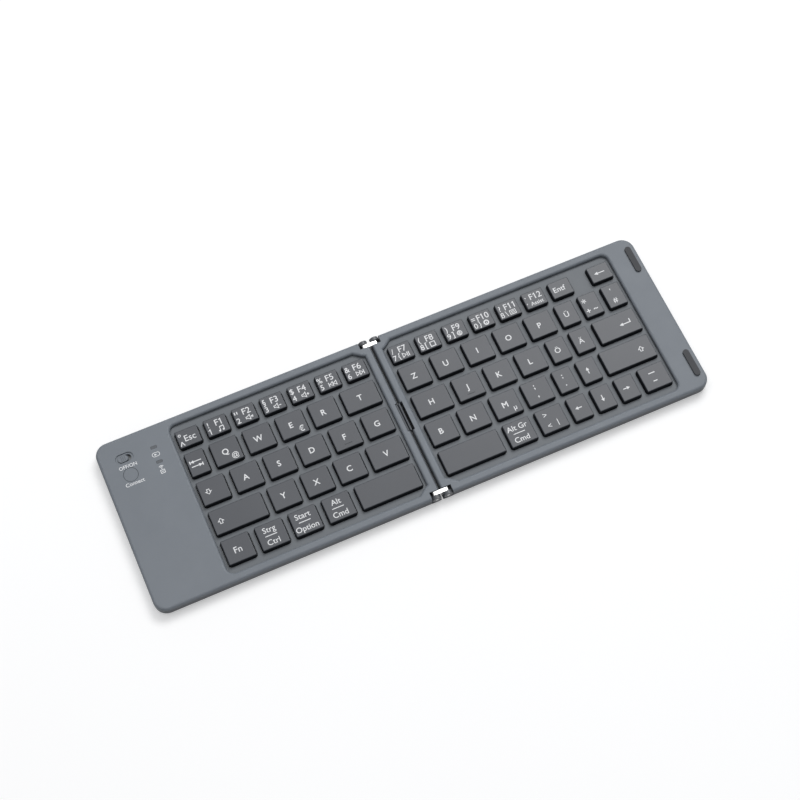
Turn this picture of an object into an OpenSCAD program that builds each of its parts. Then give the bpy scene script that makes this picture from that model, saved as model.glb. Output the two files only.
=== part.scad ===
// Folding pocket keyboard: two thin halves joined by a pair of double-pivot hinges.
// X runs along the length (+X to the right hand), Y to the rear, Z up. The fold line is x = 0.
// Each half is drawn outwards from the fold line; the left half is the mirror image of that frame.

/* [Housing] */
// Width of the end panel outside the right-hand key recess
end_panel = 15.5; // [14:0.1:30]
// Width of the front and rear rims outside the key recess
side_rim = 4.5; // [4:0.1:9]
// Thickness of one half of the housing
body_t = 6.4; // [6.3:0.05:7]
// Gap between the two halves at the fold line
fold_gap = 0.8; // [0.8:0.05:1.2]
// Plan radius of the outer corners
corner_r = 6.5; // [4:0.5:9]
// Radius of the rounded upper edge, all round
top_edge_r = 1.4; // [1.3:0.05:1.6]
// Radius of the rounded lower edge
low_edge_r = 1.1; // [0.6:0.1:1.3]
// Thickness of the side walls
wall = 1.4; // [1:0.1:1.8]
// Thickness of the floor of the lower covers
floor_t = 1.0; // [0.9:0.05:1.2]
// Thickness of the roof over the end panels
roof_t = 1.0; // [0.8:0.1:1.2]
// Height of the lower cover, where the two covers meet
split_h = 2.8; // [2.7:0.05:3]
// Step of the parting line: the lower cover is this much smaller all round
seam_step = 0.12; // [0.05:0.01:0.2]

/* [Key pocket] */
// Depth of the recess that the keys stand in
pocket_depth = 2.2; // [2:0.05:2.4]
// Thickness of the recess floor
deck_t = 1.0; // [0.8:0.05:1.1]
// Recess wall to the outermost key cells, along X
pocket_margin = 0.15; // [0.1:0.05:0.4]
// Recess wall to the front key row
front_margin = 2.35; // [2.2:0.05:3]
// Recess wall to the number row
rear_margin = 2.55; // [2.4:0.05:3.2]
// Radius of the outer corners of the recess
pocket_r = 3.5; // [2:0.1:3.5]
// Length of the corner step over each hinge
step_length = 5.4; // [5:0.1:8]
// Depth of the corner step over each hinge
step_depth = 3.7; // [3.4:0.1:3.8]

/* [Keys] */
// Centre distance of the letter keys
key_pitch = 17.2; // [17:0.2:17.6]
// Cell width of the narrow punctuation keys
small_pitch = 13.1; // [12.8:0.1:13.4]
// Front-to-rear distance of the key rows
row_pitch = 16.2; // [16:0.05:16.5]
// Cell depth of the number row
number_row_pitch = 12.7; // [12.4:0.05:13]
// Distance of the first key cell from the fold line
key_start = 4.95; // [4.8:0.05:5.2]
// Space between two key caps at their base
cap_space = 2.8; // [2.6:0.05:3]
// Height of the key tops above the recess floor
cap_rise = 2.6; // [2.5:0.05:2.7]
// How much each flank of a key cap leans in
cap_lean = 0.35; // [0.2:0.05:0.5]
// Corner radius of a key cap
cap_r = 1.5; // [1:0.1:2]
// Radius of the rounded upper edge of a key cap
cap_edge_r = 0.35; // [0.2:0.05:0.5]
// Wall of a key cap
cap_wall = 0.9; // [0.7:0.05:1]
// Thickness of the top of a key cap
cap_top = 0.9; // [0.8:0.05:1]
// Gap round a key cap in the deck
cap_clearance = 0.3; // [0.2:0.02:0.4]
// How far a key goes down
key_travel = 1.2; // [1:0.05:1.25]
// Space left under the skirt of a key that is pressed right down
press_gap = 0.55; // [0.3:0.05:0.7]
// Length of the bars that mark the home keys
home_bar_length = 4; // [3:0.5:6]
// Middle of the home bars, from the front edge of their key
home_bar_y = 2.9; // [2:0.1:4]

/* [Key mechanism] */
// Thickness of the steel plate under the keys
plate_t = 0.5; // [0.4:0.05:0.5]
// Thickness of the switch membrane
membrane_t = 0.25; // [0.15:0.05:0.25]
// Thickness of the dome sheet discs
dome_base_t = 0.15; // [0.1:0.05:0.2]
// Lower radius of a dome
dome_r = 2.8; // [2.4:0.1:3]
// Upper radius of a dome
dome_top_r = 1.3; // [1:0.1:1.5]
// Wall of a dome
dome_wall = 0.35; // [0.25:0.05:0.45]
// Radius of the plunger under a key cap
plunger_r = 1.1; // [0.8:0.1:1.4]
// Length of the plunger under a key cap
plunger_l = 0.8; // [0.6:0.1:1]
// Square section of the scissor arms
arm_t = 0.7; // [0.5:0.05:0.8]
// Side gap between the two scissor frames
arm_gap = 0.2; // [0.15:0.05:0.3]

/* [Hinges] */
// Distance of each hinge pin from the fold line
pin_x = 3.0; // [2.95:0.01:3.1]
// Depth of the hinge pins below the upper face
pin_depth = 2.4; // [2.38:0.01:2.45]
// Radius of the hinge pins
pin_r = 0.75; // [0.6:0.05:0.8]
// Running clearance of the link on its pins
pin_clearance = 0.05; // [0.03:0.01:0.08]
// Radius of the barrel at the end of each hinge bracket
barrel_r = 2.3; // [2.2:0.02:2.32]
// Length of the barrel along its pin
barrel_l = 1.8; // [1.2:0.1:1.9]
// Thickness of the link plate along the pins
link_t = 1.85; // [1.7:0.05:2.2]
// Height of the link plate
link_h = 3.2; // [2.9:0.05:3.3]
// Link plate beyond the centre of each pin
link_end = 1.15; // [1.1:0.01:1.25]
// Side play between the link and its bracket
link_play = 0.2; // [0.1:0.05:0.3]
// Half-width of the notch in the housing at each hinge
notch_x = 5.6; // [5.6:0.05:6]
// Thickness of the inner ear of a hinge bracket
ear_t = 1.4; // [1.2:0.1:1.5]
// Radius of the inner ear of a hinge bracket
ear_r = 1.3; // [1.2:0.05:1.35]
// Thickness of the base of a hinge bracket
leaf_t = 0.75; // [0.6:0.05:0.8]
// End of the bracket base, from the fold line
leaf_end = 16; // [14:0.5:18]

/* [Cable] */
// Middle of the cable passage along Y
cable_y = -0.4; // [-2:0.1:2]
// Length of the cable passage along Y
cable_slot = 16; // [14:0.5:18]
// Width of the flat cable
cable_w = 12; // [9:0.5:13]
// Thickness of the flat cable
cable_t = 0.3; // [0.2:0.05:0.4]
// Depth of the cable sleeve below the upper face
sleeve_drop = 0.4; // [0.3:0.05:0.8]
// Crease of the cable sleeve, from the fold line
sleeve_crease = -0.6; // [-0.7:0.05:-0.5]
// Reach of the cable sleeve past the fold line, on the right-hand side
sleeve_lip = 0.7; // [0.6:0.05:0.8]

/* [Controls] */
// Middle of the slide switch and the round button, from the outer end
control_in = 12.7; // [12:0.1:14]
// Middle of the slide switch, from the rear face
switch_in = 11.4; // [11:0.1:12]
// Length of the recess round the switch
switch_recess_l = 9.2; // [9:0.1:9.6]
// Width of the recess round the switch
switch_recess_w = 5.4; // [5:0.1:5.6]
// Depth of the recess round the switch
switch_recess_depth = 0.6; // [0.5:0.05:0.8]
// Length of the thumb piece
knob_l = 5.0; // [4.6:0.1:5.2]
// Width of the thumb piece
knob_w = 3.2; // [2.8:0.1:3.4]
// Travel of the thumb piece from off to on
knob_travel = 1.5; // [1.2:0.1:1.8]
// Gap round the thumb piece in its slot
knob_gap = 0.2; // [0.15:0.05:0.3]
// Middle of the round button, from the rear face
button_in = 20.6; // [20:0.1:21.4]
// Diameter of the round button
button_d = 7.0; // [6.6:0.1:7.2]
// Travel of the round button
button_travel = 0.35; // [0.2:0.05:0.4]
// Gap round the button
button_gap = 0.2; // [0.12:0.02:0.25]
// Indicator windows, from the outer end
lamp_in = 27.7; // [26.5:0.1:29]
// Middle of the rear indicator window, from the rear face
lamp_rear_in = 11.7; // [11.2:0.1:12.5]
// Centre distance of the indicator windows
lamp_pitch = 8.1; // [7.6:0.1:8.4]
// Length of an indicator window
lamp_l = 3.2; // [2.8:0.1:3.6]
// Width of an indicator window
lamp_w = 1.5; // [1.2:0.1:1.8]

/* [Electronics] */
// Circuit board width along Y
board_w = 38; // [34:0.5:42]
// Circuit board thickness
board_t = 0.8; // [0.6:0.1:0.9]
// Circuit board to the side walls
board_gap = 0.6; // [0.4:0.1:1]
// Circuit board to the wall under the key recess
board_inner_gap = 2.1; // [1.8:0.1:4]
// Battery width along X
battery_w = 29; // [25:0.5:31]
// Battery thickness
battery_t = 3.2; // [2.8:0.1:3.3]
// Battery to the front wall
battery_gap = 5; // [3.8:0.1:8]
// Length of the battery's protection strip
strip_l = 2.4; // [2:0.1:3]
// Length of the battery leads, from the strip to the board
lead_l = 3.2; // [2:0.1:5]
// Middle of the charging port, from the outer end
port_in = 23.9; // [20:0.1:26]
// Charging port width
port_w = 9; // [8.9:0.05:9.1]
// Charging port height
port_h = 3.2; // [3.1:0.05:3.25]
// Charging port depth
port_l = 7.4; // [7:0.1:8]

/* [Pads and screws] */
// Bumper middles, from the outer end
bumper_in = 4.1; // [3.6:0.1:4.6]
// Front bumper's middle, from the front face
bumper_front_in = 14.2; // [12:0.1:18]
// Rear bumper's middle, from the rear face
bumper_rear_in = 13.5; // [12:0.1:18]
// Bumper length
bumper_l = 15.2; // [13:0.2:17]
// Bumper width
bumper_w = 3.2; // [2.6:0.1:3.6]
// How far a bumper stands out
bumper_rise = 0.9; // [0.7:0.05:1]
// Feet next to the fold line, from the fold line
foot_inner = 16; // [12:0.5:30]
// Feet next to the outer end, from the outer end
foot_outer = 17; // [12:0.5:30]
// Feet, from the front and rear faces
foot_side = 9; // [6:0.5:14]
// How far the feet stand out
foot_rise = 0.6; // [0.5:0.05:0.8]
// Recess of the feet and bumpers in the housing
pad_seat = 0.4; // [0.3:0.05:0.5]
// Foot length
foot_l = 14; // [10:0.5:16]
// Foot width
foot_w = 5; // [4:0.5:6]
// Radius of the screw shanks
screw_r = 0.7; // [0.6:0.05:0.8]
// Radius of the screw heads
head_r = 1.35; // [1.2:0.05:1.5]
// Height of the screw heads
head_h = 0.5; // [0.4:0.05:0.55]
// Radius of the bosses in the end panels
panel_boss_r = 1.8; // [1.6:0.1:2]
// Radius of the bosses between the keys
plate_boss_r = 1.15; // [1:0.05:1.2]

/* [Hidden] */
$fn = 48;

// Colours
shell_grey = [0.47, 0.50, 0.53];
key_grey = [0.38, 0.385, 0.40];
dark_rubber = [0.20, 0.21, 0.22];
steel = [0.78, 0.79, 0.80];
board_green = [0.10, 0.32, 0.20];
film = [0.85, 0.86, 0.86];
silicone = [0.93, 0.93, 0.91];
window_grey = [0.33, 0.34, 0.36];

// Heights, from the surface that the feet stand on
base_z = foot_rise;
top_z = base_z + body_t;
split_z = base_z + split_h;
inner_floor_z = base_z + floor_t;
deck_z = top_z - pocket_depth;
deck_low_z = deck_z - deck_t;
roof_low_z = top_z - roof_t;
plate_z = inner_floor_z;
membrane_z = plate_z + plate_t;
sheet_z = membrane_z + membrane_t;
dome_z = sheet_z + dome_base_t;
cap_top_z = deck_z + cap_rise;
cap_low_z = sheet_z + key_travel + press_gap;
cap_height = cap_top_z - cap_low_z;
cap_ceiling_z = cap_top_z - cap_top;
plunger_z = cap_ceiling_z - plunger_l;
pin_z = top_z - pin_depth;
e = 0.01;

// Key rows, listed outwards from the fold line: widths of the key cells, a negative one is a space
fn_pitch = round(6 * key_pitch / 7 * 500) / 500;
wide = 1.25 * key_pitch;
block_right = 5 * key_pitch + 3 * small_pitch;
left_rows = [
  [2 * key_pitch, key_pitch, key_pitch, key_pitch, key_pitch],
  [wide, key_pitch, key_pitch, key_pitch, 1.75 * key_pitch],
  [key_pitch, key_pitch, key_pitch, key_pitch, key_pitch, key_pitch],
  [wide, key_pitch, key_pitch, key_pitch, key_pitch, 0.75 * key_pitch],
  [for (i = [1:7]) fn_pitch]
];
right_rows = [
  [2 * key_pitch, key_pitch, key_pitch, small_pitch, small_pitch, small_pitch, key_pitch],
  [key_pitch, key_pitch, key_pitch, key_pitch, small_pitch, small_pitch,
    key_pitch + small_pitch],
  [wide, key_pitch, key_pitch, key_pitch, small_pitch, small_pitch,
    block_right - wide - 3 * key_pitch - 2 * small_pitch],
  [key_pitch, key_pitch, key_pitch, key_pitch, key_pitch, small_pitch, small_pitch, small_pitch],
  [for (i = [1:7]) fn_pitch, -(block_right - 8 * fn_pitch), fn_pitch]
];
number_row = 4;
rows_depth = number_row * row_pitch + number_row_pitch;
pocket_half_depth = (front_margin + rows_depth + rear_margin) / 2;
rows_start = front_margin - pocket_half_depth;
function row_y(row) = rows_start + row * row_pitch;
function row_depth(row) = (row == number_row ? number_row_pitch : row_pitch) - cap_space;
function row_middle(row) = row_y(row) + (row_depth(row) + cap_space) / 2;
function sum_to(v, n, i = 0) = i >= n ? 0 : abs(v[i]) + sum_to(v, n, i + 1);
// One key: [middle x, middle y, cap width, cap depth]
function key(rows, row, i) = [
  key_start + sum_to(rows[row], i) + rows[row][i] / 2, row_middle(row),
  rows[row][i] - cap_space, row_depth(row)
];
function keys_in(rows, row, first, last) = [
  for (i = [first:last]) if (rows[row][i] > 0) key(rows, row, i)
];
function all_keys(rows) = [
  for (row = [0:number_row]) each keys_in(rows, row, 0, len(rows[row]) - 1)
];
left_block = 6 * key_pitch;
pocket_in = key_start - pocket_margin;
inner_pocket_r = 1.8;
function pocket_out(block) = key_start + block + pocket_margin;
rows_end = row_y(number_row) + number_row_pitch;

half_length = pocket_out(block_right) + end_panel;
half_depth = pocket_half_depth + side_rim;

// Hinge stations along Y, from the outer face inwards
barrel_in = half_depth - barrel_l;
link_out = barrel_in - link_play;
link_in = link_out - link_t;
ear_out = link_in - link_play;
ear_in = ear_out - ear_t;
notch_in = link_in - link_play + e;

// Outlines as [x, y, radius] corners, anticlockwise
body_outline = [
  [fold_gap / 2, -half_depth, 0], [half_length, -half_depth, corner_r],
  [half_length, half_depth, corner_r], [fold_gap / 2, half_depth, 0]
];
function pocket_outline(block) = let (p = pocket_half_depth, a = pocket_in, b = pocket_out(block)) [
  [a, -p, inner_pocket_r], [b, -p, pocket_r], [b, p, pocket_r], [a, p, inner_pocket_r]
];

// Screw places of one half: in the end panel, between the keys, and in the hinge brackets
panel_y = half_depth - wall - 2.1;
leaf_screw_x = leaf_end - 2.2;
leaf_screw_y = (ear_in + half_depth - wall) / 2;

// Controls, lamps and bumpers, from the fold line and the middle of the keyboard
control_x = half_length - control_in;
switch_y = half_depth - switch_in;
button_y = half_depth - button_in;
lamp_x = half_length - lamp_in;
lamp_y = [half_depth - lamp_rear_in, half_depth - lamp_rear_in - lamp_pitch];
bumper_x = half_length - bumper_in;
bumper_y = [bumper_front_in - half_depth, half_depth - bumper_rear_in];
port_x = half_length - port_in;

// ---------------------------------------------------------------- outline tools

function unit(v) = v / norm(v);
function heading(v) = atan2(v[1], v[0]);
function at(path, i) = path[(i + len(path)) % len(path)];
function flat(p) = [p[0], p[1]];
function way(path, i) = unit(flat(at(path, i + 1)) - flat(at(path, i)));
function turn(path, i) = let (a = way(path, i - 1), b = way(path, i))
  atan2(a[0] * b[1] - a[1] * b[0], a * b);
function cut_back(path, i) = at(path, i)[2] * tan(abs(turn(path, i)) / 2);
function arc_start(path, i) = flat(at(path, i)) - way(path, i - 1) * cut_back(path, i);
function arc_end(path, i) = flat(at(path, i)) + way(path, i) * cut_back(path, i);
function arc_centre(path, i) = let (a = way(path, i - 1), s = sign(turn(path, i)))
  arc_start(path, i) + [-a[1], a[0]] * at(path, i)[2] * s;
// The same outline moved inwards by d
function inset(path, d) = [
  for (i = [0:len(path) - 1]) let (
    a = way(path, i - 1), b = way(path, i), na = [-a[1], a[0]], nb = [-b[1], b[0]],
    p = flat(path[i]) + (na + nb) / (1 + na * nb) * d, s = sign(turn(path, i))
  ) [p[0], p[1], max(path[i][2] == 0 ? 0 : 0.05, path[i][2] - s * d)]
];

// Area inside an outline, with true arcs at its corners
module plan(path) {
  n = len(path);
  difference() {
    union() {
      polygon([for (i = [0:n - 1]) each path[i][2] == 0
        ? [flat(path[i])] : [arc_start(path, i), arc_end(path, i)]]);
      for (i = [0:n - 1]) if (path[i][2] > 0 && turn(path, i) > 0) corner_piece(path, i);
    }
    for (i = [0:n - 1]) if (path[i][2] > 0 && turn(path, i) < 0) corner_piece(path, i);
  }
}
module corner_piece(path, i) intersection() {
  translate(arc_centre(path, i)) circle(path[i][2]);
  polygon([arc_start(path, i), flat(path[i]), arc_end(path, i), arc_centre(path, i)]);
}

// Sweeps a profile (x outwards, y up) along an outline from corner `first` to corner `last`
module sweep_edge(path, first, last) {
  for (i = [first:last - 1]) let (a = arc_end(path, i), b = arc_start(path, i + 1))
    translate(b) rotate([0, 0, heading(b - a) - 90]) rotate([90, 0, 0])
      linear_extrude(norm(b - a)) children();
  for (i = [first + 1:last]) if (at(path, i)[2] > 0) let (t = turn(path, i), h = heading(way(path, i - 1)))
    translate(arc_centre(path, i)) rotate([0, 0, t > 0 ? h - 90 : h + 90 + t])
      rotate_extrude(angle = abs(t)) translate([at(path, i)[2], 0])
        mirror([t > 0 ? 0 : 1, 0]) children();
}

// What is cut away to round an outer edge of radius r, whose corner is at the profile's origin
module round_over(r) difference() {
  translate([-r, -r]) square([r + 1, r + 1]);
  translate([-r, -r]) circle(r);
}
// What is cut away along the wall of a recess of depth d, whose upper edge is rounded
recess_band = 1.5;
module recess_edge(d, r) {
  translate([-recess_band, -d]) square([recess_band, d - r]);
  difference() {
    translate([-recess_band, -r]) square([r + recess_band, r + 1]);
    translate([r, -r]) circle(r);
  }
}
module stadium(l, w) {
  square([l - w, w], center = true);
  for (s = [-1, 1]) translate([s * (l - w) / 2, 0]) circle(w / 2);
}
module rounded(w, d, r) {
  square([w - 2 * r, d], center = true);
  square([w, d - 2 * r], center = true);
  for (x = [-1, 1], y = [-1, 1]) translate([x * (w / 2 - r), y * (d / 2 - r)]) circle(r);
}
module slab(z0, z1) translate([0, 0, z0]) linear_extrude(z1 - z0) children();
module both_ends() {
  children();
  mirror([0, 1, 0]) children();
}
module on_left() mirror([1, 0, 0]) children();

// ---------------------------------------------------------------- housing

function panel_in(block) = pocket_out(block) + top_edge_r + 0.2;
function panel_screws(block, left) = left
  ? [for (x = [half_length - wall - 2.1], y = [-panel_y, panel_y]) [x, y],
     for (y = [-panel_y, panel_y]) [panel_in(block) + 2.2, y]]
  : [for (y = [-panel_y, 0, panel_y]) [(panel_in(block) + half_length - wall) / 2, y]];
function plate_screws(rows) = [
  for (row = [0, 2]) let (x = key_start + sum_to(rows[row + 1], 3)) [x, row_y(row + 1)]
];
function leaf_screws() = [for (s = [-1, 1]) [leaf_screw_x, s * leaf_screw_y]];

module key_holes(keys, gap) for (k = keys)
  translate([k[0], k[1]]) rounded(k[2] + 2 * gap, k[3] + 2 * gap, cap_r + gap);

// Room for the moving link and for the bracket that carries it
module hinge_notch(z0) both_ends() {
  slab(z0, top_z + 1) translate([0, notch_in]) square([notch_x, half_depth]);
  slab(z0, pin_z + ear_r + 0.1)
    translate([fold_gap / 2 + 1, ear_in - 0.2]) square([pin_x + ear_r, ear_t + 1]);
}

module top_cover(rows, block, left) {
  pocket = pocket_outline(block);
  inner = inset(pocket, 0.3);
  difference() {
    slab(split_z, top_z) plan(body_outline);
    difference() {
      union() {
        translate([0, 0, top_z]) sweep_edge(pocket, 0, len(pocket)) recess_edge(pocket_depth, top_edge_r);
        slab(deck_z, top_z + 1) polygon([for (i = [0:3]) each [arc_start(inner, i), arc_end(inner, i)]]);
      }
      both_ends() corner_step();
    }
    translate([0, 0, top_z]) {
      sweep_edge(body_outline, 0, 3) round_over(top_edge_r);
      translate([fold_gap / 2, half_depth + 1]) rotate([90, 0, 0])
        linear_extrude(2 * half_depth + 2) mirror([1, 0]) round_over(top_edge_r);
    }
    slab(split_z - 1, deck_z + 1) key_holes(all_keys(rows), cap_clearance);
    under_deck(block, left);
    hinge_notch(split_z - 1);
    cable_passage();
    if (left) control_openings(); else bumper_seats();
    if (left) port_opening();
  }
  for (p = panel_screws(block, left)) boss(p, split_z, roof_low_z, panel_boss_r);
  for (p = plate_screws(rows)) boss(p, membrane_z, deck_low_z, plate_boss_r);
  if (left) switch_guide();
}

// Step of the recess corner over a hinge: two faces with rounded upper edges, at a blunt angle
module corner_step() {
  start = [pocket_in + step_length, pocket_half_depth];
  bend = [pocket_in + 0.34 * step_length, pocket_half_depth - 0.76 * step_depth];
  end = [pocket_in, pocket_half_depth - step_depth];
  low = [pocket_in - top_edge_r - 0.2, end[1] - 2];
  intersection() {
    slab(deck_z - 0.2, top_z) translate(low)
      square([step_length + 6, pocket_half_depth + top_edge_r + 0.1 - low[1]]);
    rounded_side(bend, heading(bend - start));
    rounded_side(end, heading(end - bend));
  }
}
// All that lies to the right of a heading, with its upper edge rounded
module rounded_side(p, h) translate([p[0], p[1], top_z]) rotate([0, 0, h - 90]) rotate([90, 0, 0])
  linear_extrude(40, center = true) difference() {
    translate([0, -pocket_depth - 1]) square([20, pocket_depth + 2]);
    mirror([1, 0]) round_over(top_edge_r);
  }

// Screw boss that hangs from the roof or from the deck
module boss(p, z0, z1, r) translate(p) difference() {
  slab(z0, z1 + 0.2) circle(r);
  slab(z0 - 1, z1) circle(screw_r + 0.02);
}

// Hollow under the deck, and the deeper one under the end panel
module under_deck(block, left) {
  slab(split_z - 1, deck_low_z) translate([fold_gap / 2 + wall, -rows_end])
    square([pocket_out(block) - wall, 2 * rows_end]);
  slab(split_z - 1, roof_low_z) difference() {
    plan(inset(body_outline, wall));
    translate([0, -half_depth]) square([panel_in(block), 2 * half_depth]);
  }
}

module control_openings() {
  translate([control_x, switch_y]) {
    slab(top_z - switch_recess_depth, top_z + 1) stadium(switch_recess_l, switch_recess_w);
    slab(guide_z - 1, top_z) stadium(knob_l + knob_travel + 2 * knob_gap, knob_w + 2 * knob_gap);
  }
  translate([control_x, button_y]) slab(roof_low_z - 1, top_z + 1) circle(button_d / 2 + button_gap);
  for (y = lamp_y) translate([lamp_x, y]) slab(roof_low_z - 1, top_z + 1)
    rounded(lamp_l + 0.1, lamp_w + 0.1, 0.5);
}

// Thick frame under the roof that the thumb piece slides along
guide_z = top_z - switch_recess_depth - 1.1;
module switch_guide() translate([control_x, switch_y]) slab(guide_z, top_z - switch_recess_depth - 0.2)
  difference() {
    stadium(switch_recess_l + 1, switch_recess_w + 1);
    stadium(knob_l + knob_travel + 2 * knob_gap, knob_w + 2 * knob_gap);
  }

module bumper_seats() for (y = bumper_y)
  translate([bumper_x, y]) slab(top_z - pad_seat, top_z + 1) rotate(90) stadium(bumper_l, bumper_w);

module port_opening() translate([port_x, half_depth + 1, port_mid_z]) rotate([90, 0, 0])
  linear_extrude(wall + 2) stadium(port_w + 0.3, port_h + 0.3);

// Slot beside the fold line that the cable sleeve rises in, and the room beside it under the rim
slot_x = fold_gap / 2 + 1.5;
cable_room_x = pocket_in - 0.8;
module cable_passage() translate([0, cable_y - cable_slot / 2]) {
  slab(split_z - 1, top_z + 1) square([slot_x, cable_slot]);
  slab(split_z - 1, pin_z + 0.15) square([cable_room_x, cable_slot]);
}

module bottom_cover(rows, block, left) {
  outline = inset(body_outline, seam_step);
  difference() {
    slab(base_z, split_z) plan(outline);
    translate([0, 0, base_z]) sweep_edge(outline, 0, 3) mirror([0, 1]) round_over(low_edge_r);
    slab(inner_floor_z, split_z + 1) difference() {
      plan(inset(body_outline, wall));
      for (p = panel_screws(block, left)) translate(p) circle(panel_boss_r + 0.2);
      if (left) for (p = board_posts) translate(p) circle(board_post_r);
    }
    hinge_notch(inner_floor_z);
    slab(inner_floor_z, split_z + 1) translate([0, cable_y - cable_slot / 2])
      square([cable_room_x, cable_slot]);
    for (p = panel_screws(block, left)) screw_hole(p);
    for (p = plate_screws(rows)) screw_hole(p);
    for (p = leaf_screws()) screw_hole(p);
    if (left) slab(board_z, split_z + 1) for (p = board_posts) translate(p) circle(board_post_r + 0.2);
    for (p = foot_places(block)) translate([p[0], p[1]])
      slab(base_z - 1, base_z + pad_seat) stadium(foot_l, foot_w);
    if (left) port_opening();
  }
}
module screw_hole(p) translate(p) {
  slab(base_z - 1, base_z + head_h) circle(head_r + 0.1);
  slab(base_z, split_z + 1) circle(screw_r + 0.05);
}

module screws(rows, block, left) {
  for (p = panel_screws(block, left)) screw(p, split_z + 1.6);
  for (p = plate_screws(rows)) screw(p, deck_low_z - 0.2);
  for (p = leaf_screws()) screw(p, inner_floor_z + leaf_t);
}
module screw(p, z1) translate(p) {
  slab(base_z + 0.05, base_z + head_h) circle(head_r);
  slab(base_z + head_h - e, z1) circle(screw_r);
}

function foot_places(block) = [
  for (x = [foot_inner, half_length - foot_outer], y = [-1, 1]) [x, y * (half_depth - foot_side)]
];
module feet(block) for (p = foot_places(block)) translate([p[0], p[1]])
  slab(0, base_z + pad_seat) stadium(foot_l - 0.1, foot_w - 0.1);

// ---------------------------------------------------------------- key mechanism

module plate_area(block, gap) difference() {
  translate([fold_gap / 2 + wall + gap, -rows_end + gap])
    square([pocket_out(block) - wall - fold_gap, 2 * (rows_end - gap)]);
  translate([0, cable_y - cable_slot / 2 - 0.3]) square([cable_room_x + 0.5, cable_slot + 0.6]);
}
module key_plate(rows, block) difference() {
  slab(plate_z, plate_z + plate_t) plate_area(block, 0.1);
  for (p = plate_screws(rows)) translate(p) slab(plate_z - 1, plate_z + 1) circle(screw_r + 0.1);
}
module membrane(rows, block, left) {
  difference() {
    slab(membrane_z, sheet_z) plate_area(block, 0.3);
    for (p = plate_screws(rows)) translate(p) slab(membrane_z - 1, sheet_z + 1) circle(plate_boss_r + 0.2);
  }
  if (left) membrane_tail(pocket_out(block));
}
// Tail that steps up on to the circuit board
module membrane_tail(x) along_y(tail_y - tail_w / 2, tail_y + tail_w / 2) ribbon([
  [x - 2, membrane_z], [x + 1, membrane_z], [board_mid[0] - board_l / 2 - 0.4, board_top_z],
  [board_mid[0] - board_l / 2 + 2.5, board_top_z]
], membrane_t);
// Flat strip along the points of its lower side
module ribbon(points, t) polygon(concat(points,
  [for (i = [len(points) - 1:-1:0]) points[i] + [0, t]]));
module domes(rows) for (k = all_keys(rows)) translate([k[0], k[1]]) rotate_extrude() difference() {
  polygon([[0, sheet_z], [dome_r, sheet_z], [dome_r, dome_z], [dome_top_r, plunger_z], [0, plunger_z]]);
  polygon([[-e, sheet_z - e], [dome_r - dome_wall, sheet_z - e], [dome_top_r - dome_wall, plunger_z - 0.5],
    [-e, plunger_z - 0.5]]);
}

// Two frames crossed in an X: the outer one rises to the right, the inner one to the left
module scissors(rows) for (k = all_keys(rows)) {
  tall = k[2] < k[3];
  across = (tall ? k[3] : k[2] > 20 ? 14.4 : k[2]) - 2 * cap_wall - 0.8;
  along = min(tall ? k[2] : k[3], 12) - 2 * cap_wall - 0.4;
  low = dome_z + arm_t / 2 + 0.05;
  high = cap_ceiling_z - arm_t / 2 - 0.1;
  lean = atan2(high - low, along - arm_t);
  translate([k[0], k[1], (low + high) / 2]) rotate([0, 0, tall ? 90 : 0]) {
    frame(across, along - arm_t, lean);
    frame(across - 2 * (arm_t + arm_gap), along - arm_t, -lean);
  }
}
module frame(across, along, lean) rotate([lean, 0, 0]) difference() {
  cube([across, along / cos(lean), arm_t], center = true);
  cube([across - 2 * arm_t, along / cos(lean) - 2 * arm_t, 2 * arm_t], center = true);
}

module cap_profile(w) {
  difference() {
    polygon([[-w / 2, 0], [w / 2, 0], [w / 2, cap_height - cap_rise], [w / 2 - cap_lean, cap_height],
      [-w / 2 + cap_lean, cap_height], [-w / 2, cap_height - cap_rise]]);
    for (s = [0, 1]) mirror([s, 0]) translate([w / 2 - cap_lean, cap_height])
      difference() {
        translate([-cap_edge_r, -cap_edge_r]) square(2 * cap_edge_r);
        translate([-cap_edge_r, -cap_edge_r]) circle(cap_edge_r);
      }
  }
}
module key_cap(k) translate([k[0], k[1], cap_low_z]) {
  difference() {
    intersection() {
      linear_extrude(cap_height) rounded(k[2], k[3], cap_r);
      translate([0, k[3] / 2 + 1, 0]) rotate([90, 0, 0]) linear_extrude(k[3] + 2) cap_profile(k[2]);
      translate([-k[2] / 2 - 1, 0, 0]) rotate([90, 0, 90]) linear_extrude(k[2] + 2) cap_profile(k[3]);
    }
    translate([0, 0, -1]) linear_extrude(cap_height - cap_top + 1)
      rounded(k[2] - 2 * cap_wall, k[3] - 2 * cap_wall, max(0.2, cap_r - cap_wall));
  }
  translate([0, 0, cap_height - cap_top - plunger_l]) cylinder(r = plunger_r, h = plunger_l + 0.1);
}
// Raised bar on the home keys
module home_bar(k) translate([k[0], k[1] - k[3] / 2 + home_bar_y, cap_top_z - 0.05])
  linear_extrude(0.25) stadium(home_bar_length, 0.6);
module left_caps(row, first, last) color(key_grey) on_left()
  for (k = keys_in(left_rows, row, first, last)) key_cap(k);
module right_caps(row, first, last) color(key_grey)
  for (k = keys_in(right_rows, row, first, last)) key_cap(k);
module left_home_bar(row, i) color(key_grey) on_left() home_bar(key(left_rows, row, i));
module right_home_bar(row, i) color(key_grey) home_bar(key(right_rows, row, i));

// ---------------------------------------------------------------- hinges

module along_y(y0, y1) translate([0, y1, 0]) rotate([90, 0, 0]) linear_extrude(y1 - y0) children();

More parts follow.
